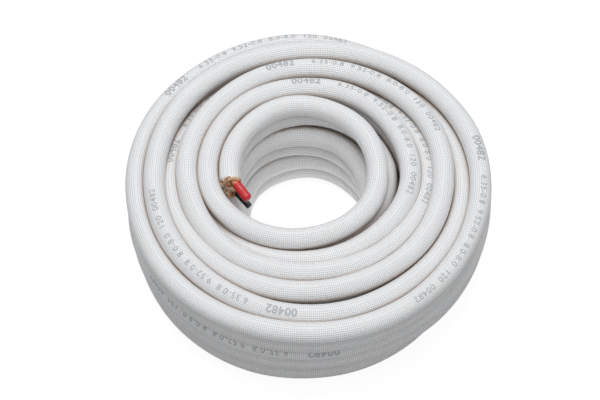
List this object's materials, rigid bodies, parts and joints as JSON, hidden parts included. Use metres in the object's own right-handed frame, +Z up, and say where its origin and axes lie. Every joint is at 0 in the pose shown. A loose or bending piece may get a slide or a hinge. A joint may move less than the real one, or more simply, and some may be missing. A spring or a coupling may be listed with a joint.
{
  "type": "copper tube coil",
  "caption": "Coil of paired copper tubes in white foam sleeves, wound flat in stacked turns round an open bore, with bare copper ends under push-on caps.",
  "frame": {"origin": "centre of the floor area that the coil covers, on the coil's own axis, at floor level", "axes": "+Z up along the coil's axis, -Y towards the viewer of the picture, +X to that viewer's right"},
  "size_m": [0.4287, 0.4286, 0.1406],
  "materials": {
    "sleeve_foam": "white embossed polyethylene film over soft foam",
    "copper": "bright drawn copper",
    "red_cap": "glossy soft plastic",
    "black_cap": "glossy soft plastic"
  },
  "bodies": {
    "root": {"wound_coil": "sleeve_foam", "inner_large_copper_tube": "copper", "inner_small_copper_tube": "copper", "outer_large_copper_tube": "copper", "outer_small_copper_tube": "copper", "inner_large_end_cap": "red_cap", "inner_small_end_cap": "black_cap", "outer_large_end_cap": "red_cap", "outer_small_end_cap": "black_cap"}
  },
  "joints": []
}
